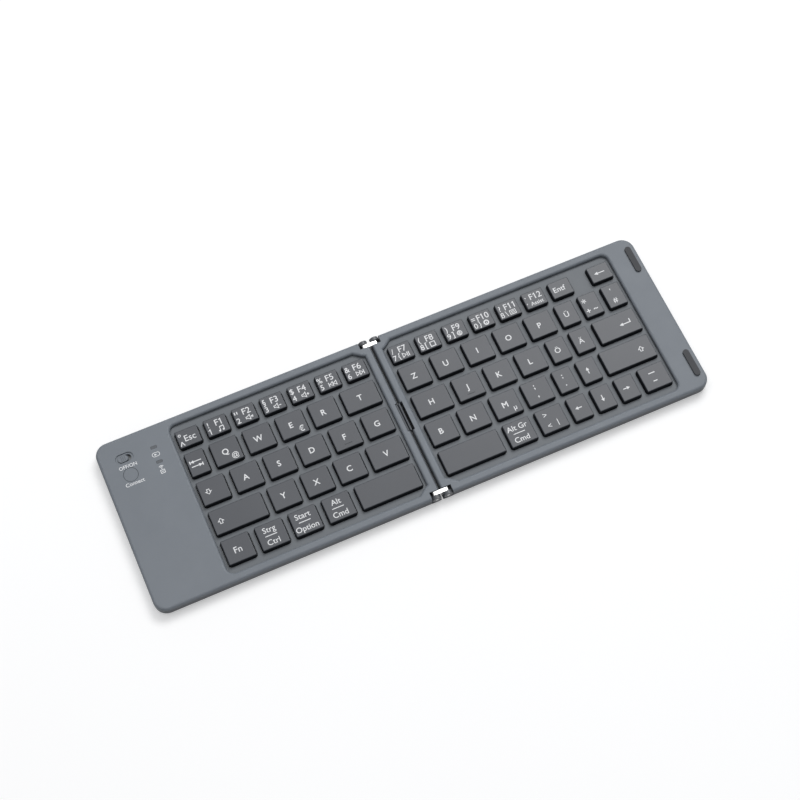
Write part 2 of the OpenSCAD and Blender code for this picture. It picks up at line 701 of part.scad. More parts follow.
// A bracket holds its pin between an outer barrel and an inner ear
module hinge_bracket() {
  bracket_top = inner_floor_z + leaf_t;
  difference() {
    union() {
      along_y(barrel_in, half_depth) translate([pin_x, pin_z]) circle(barrel_r);
      along_y(ear_in, ear_out) {
        translate([pin_x, pin_z]) circle(ear_r);
        translate([pin_x - ear_r, inner_floor_z]) square([2 * ear_r, pin_z - inner_floor_z]);
      }
      slab(inner_floor_z, bracket_top) difference() {
        translate([pin_x - ear_r, ear_in]) square([leaf_end - pin_x + ear_r, half_depth - ear_in]);
        translate([notch_x - 0.2, half_depth - wall - 0.1]) square([leaf_end, wall + 1]);
      }
      along_y(barrel_in, half_depth) translate([pin_x - 1.2, inner_floor_z])
        square([2.4, pin_z - inner_floor_z]);
    }
    along_y(ear_in - 1, half_depth + 1) translate([pin_x, pin_z]) circle(pin_r);
    translate([leaf_screw_x, leaf_screw_y]) slab(0, top_z) circle(screw_r + 0.02);
  }
}
module hinge_pin() along_y(ear_in, half_depth) translate([pin_x, pin_z]) circle(pin_r);

module hinge_link() difference() {
  along_y(link_in, link_out) translate([0, pin_z])
    rounded(2 * (pin_x + link_end), link_h, 1);
  for (s = [-1, 1]) along_y(link_in - 1, link_out + 1) translate([s * pin_x, pin_z])
    circle(pin_r + pin_clearance);
}

// ---------------------------------------------------------------- cable

// Half of the cable's route across the fold: it leaves the membrane and humps up between the halves
hump_z = pin_z - cable_t;
cable_route = [[key_start + 1.1, sheet_z], [cable_room_x - 0.2, sheet_z], [slot_x - 0.2, hump_z]];
module flex_ribbon() along_y(cable_y - cable_w / 2, cable_y + cable_w / 2)
  ribbon(concat([for (p = cable_route) [-p[0], p[1]]], [for (i = [2:-1:0]) cable_route[i]]), cable_t);

// Soft sleeve over the cable, creased along the fold
module sleeve() {
  l = cable_slot - 0.6;
  low = hump_z + cable_t;
  high = top_z - sleeve_drop;
  along_y(cable_y - l / 2, cable_y + l / 2) difference() {
    translate([0.1 - slot_x, low]) square([slot_x + sleeve_lip, high - low]);
    polygon([[sleeve_crease - 0.35, high + e], [sleeve_crease, low + 0.5], [sleeve_crease + 0.35, high + e]]);
  }
}

// ---------------------------------------------------------------- electronics

board_z = inner_floor_z + 0.2;
board_top_z = board_z + board_t;
board_l = half_length - wall - board_gap - panel_in(left_block) - board_inner_gap;
board_mid = [half_length - wall - board_gap - board_l / 2, half_depth - wall - board_gap - board_w / 2];
board_edge = [board_mid[0] - board_l / 2, board_mid[1] - board_w / 2];
board_post_r = 1.2;
board_posts = [for (x = [-1, 1], y = [-1, 1]) board_mid + [x * (board_l / 2 - 2), y * (board_w / 2 - 7)]];
port_mid_z = board_top_z + port_h / 2;
port_front = half_depth - 0.3;
tail_w = 10;
tail_y = board_edge[1] + tail_w / 2 + 1.3;
battery_front = wall + battery_gap - half_depth;
battery_l = board_edge[1] - lead_l - strip_l - battery_front;
battery_mid = [(panel_in(left_block) + half_length - wall) / 2, battery_front + battery_l / 2];
lead_x = battery_mid[0] + 1;
lead_gauge = 1;

module board() {
  difference() {
    slab(board_z, board_top_z) translate(board_mid) square([board_l, board_w], center = true);
    for (p = panel_screws(left_block, true)) translate(p)
      slab(board_z - 1, board_top_z + 1) circle(panel_boss_r + 0.5);
  }
  part_on_board([lamp_x + lamp_l, lamp_y[1] - lamp_w - 5.4], [11, 9, 1.6]);
  part_on_board([control_x, button_y - button_d - 2.1], [6, 6, 0.9]);
  part_on_board([lead_x, board_edge[1] + 1.8], [5, 3.2, 2.2]);
  for (y = lamp_y) part_on_board([lamp_x, y], [1.6, 0.8, 0.5]);
  for (i = [0:3]) part_on_board([lead_x + 2.4 * (i - 1), board_edge[1] + 5.5], [1.2, 0.6, 0.5]);
  part_on_board([board_edge[0] + 1.6, tail_y], [2.4, tail_w + 2, 1.1], membrane_t + 0.05);
}
// A component: a block on the board; one that clamps the tail starts above it, on two feet
module part_on_board(p, size, lift = 0) translate([p[0], p[1]]) {
  slab(board_top_z + lift, board_top_z + lift + size[2]) square([size[0], size[1]], center = true);
  if (lift > 0) for (s = [-1, 1]) translate([0, s * (size[1] / 2 - 0.4)])
    slab(board_top_z - e, board_top_z + lift + e) square([size[0], 0.7], center = true);
}

// Pouch cell with its protection strip and two leads
module battery_pack() translate([battery_mid[0], battery_mid[1], inner_floor_z + battery_t / 2]) {
  along_y(-battery_l / 2, battery_l / 2) rounded(battery_w, battery_t, 1.2);
  along_y(battery_l / 2, battery_l / 2 + strip_l) translate([0, -0.2 * battery_t])
    square([0.65 * battery_w, 0.55 * battery_t], center = true);
  for (s = [-1, 1]) along_y(battery_l / 2 + strip_l - 0.1, battery_l / 2 + strip_l + lead_l + 0.2)
    translate([lead_x - battery_mid[0] + 0.9 * s, board_top_z + 1 - inner_floor_z - battery_t / 2])
      circle(lead_gauge / 2);
}

// Socket shell with its contact tongue
module port() translate([port_x, 0, port_mid_z]) {
  along_y(port_front - port_l, port_front) difference() {
    stadium(port_w, port_h);
    stadium(port_w - 0.6, port_h - 0.6);
  }
  along_y(port_front - port_l, port_front - port_l + 0.6) stadium(port_w, port_h);
  along_y(port_front - port_l, port_front - 0.8) square([port_w - 2.6, 0.7], center = true);
}

// Slide switch on the board; the stem of the thumb piece rides in its slot
switch_top_z = guide_z - 0.9;
stem_l = 1.2;
module switch_box() translate([control_x, switch_y]) difference() {
  slab(board_top_z, switch_top_z) square([8, 3.6], center = true);
  slab(switch_top_z - 0.8, switch_top_z + 1)
    square([stem_l + knob_travel + 0.4, stem_l + 0.3], center = true);
}
// The thumb piece rests in its off position, which is the outer one
module knob() translate([control_x + knob_travel / 2, switch_y]) {
  difference() {
    slab(guide_z - 0.1, top_z - 0.1) stadium(knob_l, knob_w);
    for (i = [-1:1]) translate([i * 0.9, 0]) slab(top_z - 0.35, top_z) square([0.4, knob_w], center = true);
  }
  slab(guide_z - 0.7, guide_z - 0.1) square([knob_l + 1, knob_w + 1.4], center = true);
  slab(switch_top_z - 0.6, guide_z - 0.6) square([stem_l, stem_l], center = true);
}

// Round button with a rim that holds it under the roof
stem_low_z = board_top_z + 2;
module button() translate([control_x, button_y]) {
  slab(roof_low_z - 0.5, top_z - 0.05) circle(button_d / 2);
  slab(roof_low_z - 0.6, roof_low_z - 0.1) circle(button_d / 2 + 0.7);
  slab(stem_low_z, roof_low_z - 0.5) circle(1);
}
module contact() translate([control_x, button_y]) {
  slab(board_top_z, board_top_z + 1.5) rounded(4.4, 4.4, 0.4);
  slab(board_top_z + 1.4, stem_low_z - button_travel - 0.05) circle(0.9);
}

// Light guides with a rim under the roof
module windows() for (y = lamp_y) translate([lamp_x, y]) {
  slab(board_top_z + 0.7, top_z - 0.02) rounded(lamp_l, lamp_w, 0.45);
  slab(roof_low_z - 0.6, roof_low_z) rounded(lamp_l + 1.4, lamp_w + 1.2, 0.5);
}

// ---------------------------------------------------------------- pads

module bumpers() for (y = bumper_y) translate([bumper_x, y])
  slab(top_z - pad_seat, top_z + bumper_rise) rotate(90) stadium(bumper_l - 0.1, bumper_w - 0.1);

// ---------------------------------------------------------------- pieces

module left_top_cover() color(shell_grey) on_left() top_cover(left_rows, left_block, true);
module left_bottom_cover() color(shell_grey) on_left() bottom_cover(left_rows, left_block, true);
module left_key_plate() color(steel) on_left() key_plate(left_rows, left_block);
module left_membrane() color(film) on_left() membrane(left_rows, left_block, true);
module left_domes() color(silicone) on_left() domes(left_rows);
module left_scissors() color(silicone) on_left() scissors(left_rows);
module left_hinge_brackets() color(shell_grey) on_left() both_ends() hinge_bracket();
module left_hinge_pins() color(steel) on_left() both_ends() hinge_pin();
module left_screws() color(steel) on_left() screws(left_rows, left_block, true);
module left_feet() color(dark_rubber) on_left() feet(left_block);
module circuit_board() color(board_green) on_left() board();
module battery() color("silver") on_left() battery_pack();
module charging_port() color(steel) on_left() port();
module switch_body() color("silver") on_left() switch_box();
module switch_knob() color(shell_grey) on_left() knob();
module connect_button() color(shell_grey) on_left() button();
module button_contact() color("silver") on_left() contact();
module indicator_windows() color(window_grey) on_left() windows();
module flex_cable() color(dark_rubber) flex_ribbon();
module cable_sleeve() color(shell_grey) sleeve();
module front_hinge_link() color(steel) mirror([0, 1, 0]) hinge_link();
module rear_hinge_link() color(steel) hinge_link();
module right_top_cover() color(shell_grey) top_cover(right_rows, block_right, false);
module right_bottom_cover() color(shell_grey) bottom_cover(right_rows, block_right, false);
module right_key_plate() color(steel) key_plate(right_rows, block_right);
module right_membrane() color(film) membrane(right_rows, block_right, false);
module right_domes() color(silicone) domes(right_rows);
module right_scissors() color(silicone) scissors(right_rows);
module right_hinge_brackets() color(shell_grey) both_ends() hinge_bracket();
module right_hinge_pins() color(steel) both_ends() hinge_pin();
module right_screws() color(steel) screws(right_rows, block_right, false);
module right_feet() color(dark_rubber) feet(block_right);
module closing_bumpers() color(dark_rubber) bumpers();
module key_escape() left_caps(4, 6, 6);
module keys_f1_to_f6() left_caps(4, 0, 5);
module key_tab() left_caps(3, 5, 5);
module keys_q_to_t() left_caps(3, 0, 4);
module key_caps_lock() left_caps(2, 5, 5);
module keys_a_to_g() {
  left_caps(2, 0, 4);
  left_home_bar(2, 1);
}
module key_left_shift() left_caps(1, 4, 4);
module keys_y_to_v() left_caps(1, 0, 3);
module key_fn() left_caps(0, 4, 4);
module keys_ctrl_start_alt() left_caps(0, 1, 3);
module key_left_space() left_caps(0, 0, 0);
module keys_f7_to_f12() right_caps(4, 0, 5);
module key_delete() right_caps(4, 6, 6);
module key_backspace() right_caps(4, 8, 8);
module keys_z_to_p() right_caps(3, 0, 4);
module keys_u_umlaut_plus_hash() right_caps(3, 5, 7);
module keys_h_to_l() {
  right_caps(2, 0, 3);
  right_home_bar(2, 1);
}
module keys_o_a_umlaut() right_caps(2, 4, 5);
module key_enter() right_caps(2, 6, 6);
module keys_b_to_m() right_caps(1, 0, 2);
module keys_comma_point() right_caps(1, 3, 4);
module key_up_arrow() right_caps(1, 5, 5);
module key_right_shift() right_caps(1, 6, 6);
module key_right_space() right_caps(0, 0, 0);
module keys_alt_angle() right_caps(0, 1, 2);
module keys_lower_arrows() right_caps(0, 3, 5);
module key_minus() right_caps(0, 6, 6);

left_top_cover();
left_bottom_cover();
left_key_plate();
left_membrane();
left_domes();
left_scissors();
left_hinge_brackets();
left_hinge_pins();
left_screws();
left_feet();
circuit_board();
battery();
charging_port();
switch_body();
switch_knob();
connect_button();
button_contact();
indicator_windows();
flex_cable();
cable_sleeve();
front_hinge_link();
rear_hinge_link();
right_top_cover();
right_bottom_cover();
right_key_plate();
right_membrane();
right_domes();
right_scissors();
right_hinge_brackets();
right_hinge_pins();
right_screws();
right_feet();
closing_bumpers();
key_escape();
keys_f1_to_f6();
key_tab();
keys_q_to_t();
key_caps_lock();
keys_a_to_g();
key_left_shift();
keys_y_to_v();
key_fn();
keys_ctrl_start_alt();
key_left_space();
keys_f7_to_f12();
key_delete();
key_backspace();
keys_z_to_p();
keys_u_umlaut_plus_hash();
keys_h_to_l();
keys_o_a_umlaut();
key_enter();
keys_b_to_m();
keys_comma_point();
key_up_arrow();
key_right_shift();
key_right_space();
keys_alt_angle();
keys_lower_arrows();
key_minus();
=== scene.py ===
import math
import bmesh
import bpy
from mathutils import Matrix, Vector


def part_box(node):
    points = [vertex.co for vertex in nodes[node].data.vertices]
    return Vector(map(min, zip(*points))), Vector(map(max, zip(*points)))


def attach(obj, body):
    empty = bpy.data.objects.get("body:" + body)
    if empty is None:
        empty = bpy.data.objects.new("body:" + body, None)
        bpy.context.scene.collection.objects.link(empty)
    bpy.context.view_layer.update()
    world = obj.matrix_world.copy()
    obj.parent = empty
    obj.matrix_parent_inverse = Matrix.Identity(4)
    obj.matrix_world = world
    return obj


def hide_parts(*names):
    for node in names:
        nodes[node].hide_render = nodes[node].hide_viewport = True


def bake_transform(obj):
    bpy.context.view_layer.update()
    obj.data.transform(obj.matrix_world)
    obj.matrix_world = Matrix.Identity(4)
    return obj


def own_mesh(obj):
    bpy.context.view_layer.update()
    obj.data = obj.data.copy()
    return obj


mm = 0.001      # scene units are metres

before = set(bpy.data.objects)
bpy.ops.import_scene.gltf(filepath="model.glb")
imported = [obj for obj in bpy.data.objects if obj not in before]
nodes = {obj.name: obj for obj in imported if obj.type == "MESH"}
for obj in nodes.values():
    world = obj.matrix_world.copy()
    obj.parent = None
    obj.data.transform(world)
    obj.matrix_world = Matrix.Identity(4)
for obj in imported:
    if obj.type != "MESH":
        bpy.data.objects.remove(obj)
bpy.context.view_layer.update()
scene = bpy.context.scene
print("frame loaded:", len(nodes), "nodes")


def newGroup(name, inputs, outputs):
    group = bpy.data.node_groups.new(name, "ShaderNodeTree")
    for label, kind, value in inputs:
        socket = group.interface.new_socket(name=label, in_out="INPUT", socket_type=kind)
        socket.default_value = value
    for label, kind in outputs:
        group.interface.new_socket(name=label, in_out="OUTPUT", socket_type=kind)
    ends = group.nodes.new("NodeGroupInput"), group.nodes.new("NodeGroupOutput")
    ends[0].location, ends[1].location = (-700, 0), (500, 0)
    return group, ends[0].outputs, ends[1].inputs


def addNode(tree, kind, x, y, links=None, **settings):
    node = tree.nodes.new(kind)
    node.location = (x, y)
    for key, value in settings.items():
        setattr(node, key, value)
    for socket, source in (links or {}).items():
        if hasattr(source, "is_output"):
            tree.links.new(source, node.inputs[socket])
        else:
            node.inputs[socket].default_value = source
    return node


def makeGrainGroup():
    # moulded texture: a height for the bump and a roughness that wanders over the surface
    group, given, out = newGroup(
        "Fine grain",
        [("Scale", "NodeSocketFloat", 1800), ("Wander", "NodeSocketFloat", 0.08),
         ("Roughness", "NodeSocketFloat", 0.5)],
        [("Height", "NodeSocketFloat"), ("Roughness", "NodeSocketFloat")])
    place = addNode(group, "ShaderNodeTexCoord", -520, 120)
    grain = addNode(group, "ShaderNodeTexNoise", -300, 160,
                    {"Vector": place.outputs["Object"], "Scale": given["Scale"], "Detail": 3})
    broad = addNode(group, "ShaderNodeTexNoise", -300, -120,
                    {"Vector": place.outputs["Object"], "Scale": 90, "Detail": 4})
    centred = addNode(group, "ShaderNodeMath", -80, -120, {0: broad.outputs[0], 1: 0.5},
                      operation="SUBTRACT")
    swing = addNode(group, "ShaderNodeMath", 90, -120,
                    {0: centred.outputs[0], 1: given["Wander"], 2: given["Roughness"]},
                    operation="MULTIPLY_ADD")
    group.links.new(grain.outputs[0], out["Height"])
    group.links.new(swing.outputs[0], out["Roughness"])
    return group


def makeTintGroup():
    # soft cloudy change of colour across a surface
    group, given, out = newGroup(
        "Soft tint",
        [("Colour", "NodeSocketColor", (0.2, 0.2, 0.2, 1)),
         ("Lighter", "NodeSocketColor", (0.3, 0.3, 0.3, 1)),
         ("Scale", "NodeSocketFloat", 30)],
        [("Colour", "NodeSocketColor")])
    place = addNode(group, "ShaderNodeTexCoord", -520, 0)
    cloud = addNode(group, "ShaderNodeTexNoise", -320, 0,
                    {"Vector": place.outputs["Object"], "Scale": given["Scale"],
                     "Detail": 5, "Roughness": 0.6})
    spread = addNode(group, "ShaderNodeMapRange", -120, 0,
                     {"Value": cloud.outputs[0], "From Min": 0.3, "From Max": 0.75})
    mix = addNode(group, "ShaderNodeMix", 120, 0,
                  {0: spread.outputs[0], 6: given["Colour"], 7: given["Lighter"]},
                  data_type="RGBA")
    group.links.new(mix.outputs[2], out["Colour"])
    return group


def makeBrushGroup():
    # long fine scratches along one direction
    group, given, out = newGroup(
        "Brushed lines",
        [("Stretch", "NodeSocketVector", (60, 4000, 4000)),
         ("Roughness", "NodeSocketFloat", 0.25), ("Wander", "NodeSocketFloat", 0.15)],
        [("Height", "NodeSocketFloat"), ("Roughness", "NodeSocketFloat")])
    place = addNode(group, "ShaderNodeTexCoord", -560, 0)
    stretched = addNode(group, "ShaderNodeVectorMath", -380, 0,
                        {0: place.outputs["Object"], 1: given["Stretch"]},
                        operation="MULTIPLY")
    lines = addNode(group, "ShaderNodeTexNoise", -200, 0,
                    {"Vector": stretched.outputs[0], "Scale": 1, "Detail": 2})
    swing = addNode(group, "ShaderNodeMath", 60, -100,
                    {0: lines.outputs[0], 1: given["Wander"], 2: given["Roughness"]},
                    operation="MULTIPLY_ADD")
    group.links.new(lines.outputs[0], out["Height"])
    group.links.new(swing.outputs[0], out["Roughness"])
    return group


def addRamp(tree, x, y, value, start, end):
    # 0 at the start and 1 at the end, which are in millimetres
    return addNode(tree, "ShaderNodeMapRange", x, y,
                   {"Value": value, "From Min": start * mm, "From Max": end * mm}).outputs[0]


def multiplied(tree, x, y, *values):
    product = values[0]
    for step, value in enumerate(values[1:]):
        product = addNode(tree, "ShaderNodeMath", x + 40 * step, y, {0: product, 1: value},
                          operation="MULTIPLY").outputs[0]
    return product


# where each painted shade of the housing fades in: millimetres from the table, the fold or the
# middle
paintedShadeSpans = {"low": (6.0, 5.2), "upper": (5.2, 6.0), "fold": (1.5, 0.6), "flank": (43.5, 45)}


def makePaintedShadeGroup():
    # painted shade: the base colour is darkened below the upper face, more on the outer front and
    # rear walls low down, and along the edges at the fold
    group, given, out = newGroup(
        "Painted shade",
        [("Colour", "NodeSocketColor", (0.2, 0.2, 0.2, 1)),
         ("Low", "NodeSocketColor", (0.8, 0.75, 0.7, 1)),
         ("Fold edge", "NodeSocketFloat", 0.5), ("Flank", "NodeSocketFloat", 0.3)],
        [("Colour", "NodeSocketColor")])
    place = addNode(group, "ShaderNodeTexCoord", -1100, 0)
    axes = addNode(group, "ShaderNodeSeparateXYZ", -940, 0, {0: place.outputs["Object"]})
    x, y = [addNode(group, "ShaderNodeMath", -780, 100 - 160 * i, {0: axes.outputs[i]},
                    operation="ABSOLUTE").outputs[0] for i in (0, 1)]
    low = addRamp(group, -600, 140, axes.outputs[2], *paintedShadeSpans["low"])
    upper = addRamp(group, -600, 300, axes.outputs[2], *paintedShadeSpans["upper"])
    fold = addRamp(group, -600, -180, x, *paintedShadeSpans["fold"])
    side = addRamp(group, -600, -20, y, *paintedShadeSpans["flank"])
    edge = multiplied(group, -400, 300, upper, fold, given["Fold edge"])
    flank = multiplied(group, -400, -100, side, low, given["Flank"])
    both = addNode(group, "ShaderNodeMath", -260, 200, {0: edge, 1: flank}, operation="ADD")
    kept = addNode(group, "ShaderNodeMath", -160, 200, {0: 1, 1: both.outputs[0]},
                   operation="SUBTRACT")
    tone = addNode(group, "ShaderNodeMix", -160, 0,
                   {0: low, 6: (1, 1, 1, 1), 7: given["Low"]}, data_type="RGBA")
    toned = addNode(group, "ShaderNodeVectorMath", 40, 0,
                    {0: given["Colour"], 1: tone.outputs[2]}, operation="MULTIPLY")
    shadedColour = addNode(group, "ShaderNodeVectorMath", 240, 0,
                     {0: toned.outputs[0], "Scale": kept.outputs[0]}, operation="SCALE")
    group.links.new(shadedColour.outputs[0], out["Colour"])
    return group


capFade = (6.95, 7.3)      # from the painted shade of a key's flank to its top, millimetres above the table


def makeCapGroup():
    # key caps: a satin coat on the top, and painted shade that darkens the base colour of the
    # flanks
    group, given, out = newGroup(
        "Cap top",
        [("Colour", "NodeSocketColor", (0.2, 0.2, 0.2, 1)),
         ("Flank", "NodeSocketFloat", 0.4), ("Satin", "NodeSocketFloat", 1)],
        [("Colour", "NodeSocketColor"), ("Satin", "NodeSocketFloat")])
    place = addNode(group, "ShaderNodeTexCoord", -900, 0)
    axes = addNode(group, "ShaderNodeSeparateXYZ", -740, 0, {0: place.outputs["Object"]})
    top = addRamp(group, -560, 0, axes.outputs[2], *capFade)
    share = addNode(group, "ShaderNodeMapRange", -360, 120,
                    {"Value": top, "To Min": given["Flank"]})
    shadedColour = addNode(group, "ShaderNodeVectorMath", 0, 0,
                     {0: given["Colour"], "Scale": share.outputs[0]}, operation="SCALE")
    satin = addNode(group, "ShaderNodeMath", 0, -160, {0: top, 1: given["Satin"]},
                    operation="MULTIPLY")
    group.links.new(shadedColour.outputs[0], out["Colour"])
    group.links.new(satin.outputs[0], out["Satin"])
    return group


grainGroup = makeGrainGroup()
tintGroup = makeTintGroup()
brushGroup = makeBrushGroup()
paintedShadeGroup = makePaintedShadeGroup()
capGroup = makeCapGroup()


def startMaterial(name):
    material = bpy.data.materials.new(name)
    material.use_nodes = True
    tree = material.node_tree
    return material, tree, tree.nodes["Principled BSDF"]


def surfaceMaterial(name, colours, skinGroup, skinInputs, depth, tintInputs=None, **sockets):
    # two close colours in soft clouds, and a fine skin that sets the roughness and the bump
    material, tree, shader = startMaterial(name)
    tones = {label: (*colour, 1) for label, colour in zip(("Colour", "Lighter"), colours)}
    tint = addNode(tree, "ShaderNodeGroup", -420, 160, {**tones, **(tintInputs or {})},
                   node_tree=tintGroup)
    skin = addNode(tree, "ShaderNodeGroup", -640, -120, skinInputs, node_tree=skinGroup)
    bump = addNode(tree, "ShaderNodeBump", -260, -260,
                   {"Height": skin.outputs["Height"], "Strength": 1, "Distance": depth})
    tree.links.new(tint.outputs["Colour"], shader.inputs["Base Color"])
    tree.links.new(skin.outputs["Roughness"], shader.inputs["Roughness"])
    tree.links.new(bump.outputs["Normal"], shader.inputs["Normal"])
    for label, value in sockets.items():
        shader.inputs[label.replace("_", " ")].default_value = value
    return material


def moulded(name, *colours, roughness, grain, depth, **sockets):
    return surfaceMaterial(name, colours, grainGroup, {"Scale": grain, "Roughness": roughness},
                           depth, **sockets)


def brushed(name, *colours, roughness, along, depth):
    return surfaceMaterial(name, colours, brushGroup, {"Stretch": along, "Roughness": roughness},
                           depth, {"Scale": 120}, Metallic=1)


def passThrough(material, group, values):
    # the colour goes through one more group on its way to the shader
    tree = material.node_tree
    shader = tree.nodes["Principled BSDF"]
    source = shader.inputs["Base Color"].links[0].from_socket
    step = addNode(tree, "ShaderNodeGroup", -200, 160, {"Colour": source, **values},
                   node_tree=group)
    tree.links.new(step.outputs["Colour"], shader.inputs["Base Color"])
    return step


alongX, alongY = (60, 4000, 4000), (4000, 60, 4000)
finishes = {
    "housing": moulded("grey housing", (0.169, 0.189, 0.214), (0.192, 0.213, 0.24),
                       roughness=0.55, grain=1500, depth=0.02 * mm),
    "keycap": moulded("dark keycap", (0.031, 0.036, 0.047), (0.038, 0.044, 0.056),
                      roughness=0.5, grain=2200, depth=0.015 * mm, Specular_IOR_Level=0.1,
                      Coat_Roughness=0.38),
    "hinge_bracket": moulded("hinge barrel", (0.075, 0.08, 0.088), (0.1, 0.107, 0.118),
                             roughness=0.34, grain=2400, depth=0.01 * mm),
    "pin_steel": brushed("turned steel", (0.72, 0.72, 0.72), (0.85, 0.85, 0.85),
                         roughness=0.22, along=alongX, depth=0.004 * mm),
    "link_metal": brushed("bright link", (0.86, 0.86, 0.85), (0.95, 0.95, 0.94),
                          roughness=0.28, along=alongX, depth=0.004 * mm),
    "screw_steel": brushed("dark zinc", (0.2, 0.2, 0.21), (0.32, 0.32, 0.33),
                           roughness=0.35, along=alongY, depth=0.004 * mm),
    "plate_steel": brushed("sheet steel", (0.16, 0.165, 0.17), (0.24, 0.245, 0.25),
                           roughness=0.45, along=alongX, depth=0.004 * mm),
    "membrane_film": moulded("membrane", (0.5, 0.52, 0.52), (0.62, 0.64, 0.64),
                             roughness=0.35, grain=900, depth=0.005 * mm),
    "silicone": moulded("silicone domes", (0.62, 0.62, 0.6), (0.74, 0.74, 0.72),
                        roughness=0.5, grain=1400, depth=0.01 * mm),
    "scissor_plastic": moulded("natural plastic", (0.6, 0.6, 0.57), (0.72, 0.72, 0.69),
                               roughness=0.42, grain=1600, depth=0.01 * mm),
    "pad_rubber": moulded("rubber pad", (0.032, 0.034, 0.039), (0.046, 0.049, 0.055),
                          roughness=0.66, grain=2600, depth=0.02 * mm),
    "board": moulded("solder mask", (0.02, 0.09, 0.04), (0.03, 0.13, 0.06),
                     roughness=0.3, grain=1200, depth=0.008 * mm),
    "battery_foil": brushed("battery foil", (0.62, 0.63, 0.65), (0.74, 0.75, 0.77),
                            roughness=0.4, along=alongX, depth=0.01 * mm),
    "window": moulded("smoked window", (0.066, 0.076, 0.09), (0.084, 0.095, 0.11),
                      roughness=0.12, grain=600, depth=0.002 * mm),
    "flex": moulded("black film", (0.01, 0.0105, 0.012), (0.016, 0.017, 0.019),
                    roughness=0.6, grain=900, depth=0.005 * mm, Specular_IOR_Level=0.25),
    "sleeve": moulded("soft sleeve", (0.065, 0.072, 0.083), (0.08, 0.088, 0.1),
                      roughness=0.6, grain=2000, depth=0.02 * mm),
    "print": moulded("white print", (0.82, 0.83, 0.84), (0.9, 0.91, 0.92),
                     roughness=0.55, grain=3000, depth=0.004 * mm),
}
# painted shade on the housing: its colour is darkened low down, on the outer front and rear walls
# low down and along the fold edges
passThrough(finishes["housing"], paintedShadeGroup,
            {"Low": (0.79, 0.78, 0.76, 1), "Fold edge": 0.6, "Flank": 0.35})
# painted shade on the key flanks: their colour falls to 0.3 of the top's
cap = passThrough(finishes["keycap"], capGroup, {"Flank": 0.3, "Satin": 1})
capTree = finishes["keycap"].node_tree
capTree.links.new(cap.outputs["Satin"], capTree.nodes["Principled BSDF"].inputs["Coat Weight"])
for node in nodes.values():
    for slot in node.material_slots:
        slot.material = finishes[slot.material.name.split(".")[0]]
print("finishes given to", len(nodes), "nodes")


def addPiece(name, mesh, finish):
    data = bpy.data.meshes.new(name)
    mesh.to_mesh(data)
    mesh.free()
    data.materials.append(finishes[finish])
    piece = bpy.data.objects.new(name, data)
    scene.collection.objects.link(piece)
    return piece


def layAlongY(name, section, ends, edge, finish):
    # closed soft form with one outline (x, z) along Y, its ends drawn in by the edge
    mesh = bmesh.new()
    xs, zs = [p[0] for p in section], [p[1] for p in section]
    middle = Vector(((min(xs) + max(xs)) / 2, 0, (min(zs) + max(zs)) / 2))
    reach = Vector((max(xs) - min(xs), 1, max(zs) - min(zs))) / 2
    full, narrow = (1, 1), (1 - edge / reach.x, 1 - edge / reach.z)
    rings = []
    for y, (sx, sz) in ((ends[0], narrow), (ends[0] + edge, full), (ends[1] - edge, full),
                        (ends[1], narrow)):
        rings.append([mesh.verts.new((middle.x + (x - middle.x) * sx, y,
                                      middle.z + (z - middle.z) * sz)) for x, z in section])
    for near, far in zip(rings, rings[1:]):
        for i in range(len(section)):
            j = (i + 1) % len(section)
            mesh.faces.new((near[i], near[j], far[j], far[i]))
    bmesh.ops.triangulate(mesh, faces=[mesh.faces.new(rings[0]), mesh.faces.new(rings[-1])])
    bmesh.ops.recalc_face_normals(mesh, faces=mesh.faces[:])
    return addPiece(name, mesh, finish)


# flat cable: it stays below the hinge pins and clears the rims
ribbon = {"foot": 5 * mm, "rise": 0.4 * mm, "thickness": 0.3 * mm, "bend": (4.3 * mm, 1.7 * mm),
          "steps": 14, "level": 0.8 * mm, "edge": 0.02 * mm}
low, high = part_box("flex_cable")
outer, inner = ribbon["bend"]
arc = [outer + (inner - outer) * i / ribbon["steps"] for i in range(ribbon["steps"] + 1)]
for name, side, bodies, bend in (
        ("flat_cable_left", -1, ("left_half", "hinge_links"), (-outer, -inner)),
        ("flat_cable_right", 1, ("hinge_links", "right_half"), (inner, outer))):
    course = [(high.x, low.z), (ribbon["foot"], low.z)]
    course += [(x, low.z + ribbon["rise"]) for x in [*arc, ribbon["level"], 0]]
    section = [(side * x, z) for x, z in course]
    section += [(x, z + ribbon["thickness"]) for x, z in section[::-1]]
    cable = layAlongY(name, section, (low.y, high.y), ribbon["edge"], "flex")
    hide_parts("flex_cable")
    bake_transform(cable)

# soft sleeve over the cable, creased along the fold line
sleeve = {"crease": -0.6 * mm, "groove": 0.35 * mm, "floor": 0.5 * mm, "round": 0.22 * mm,
          "lip": 0.25 * mm, "gap": 0.01 * mm, "brim": 0.1 * mm, "shoulder": 0.15 * mm,
          "bottom": 0.08 * mm, "steps": 8, "edge": 0.12 * mm}
low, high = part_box("cable_sleeve")
left, right, top, base = low.x, high.x - sleeve["lip"], high.z, low.z + sleeve["gap"]
r, groove, crease = sleeve["round"], sleeve["groove"], sleeve["crease"]
quarter = [(r * (1 - math.cos(a)), r * (1 - math.sin(a))) for a in (0, 0.5, 1, math.pi / 2)]
# right-hand flank of the crease, from its shoulder down to its floor
flank = [(groove + sleeve["brim"], top), (groove * 0.8, top - sleeve["shoulder"]),
         (sleeve["bottom"], base + sleeve["floor"])]
section = [(left + (right - left) * i / sleeve["steps"], base) for i in range(sleeve["steps"] + 1)]
section += [(right - dx, top - dz) for dx, dz in quarter]
section += [(crease + dx, z) for dx, z in flank] + [(crease - dx, z) for dx, z in flank[::-1]]
section += [(left + dx, top - dz) for dx, dz in quarter[::-1]]
cover = layAlongY("soft_sleeve", section, (low.y, high.y), sleeve["edge"], "sleeve")
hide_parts("cable_sleeve")
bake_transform(cover)
print("cable and sleeve laid across the fold")
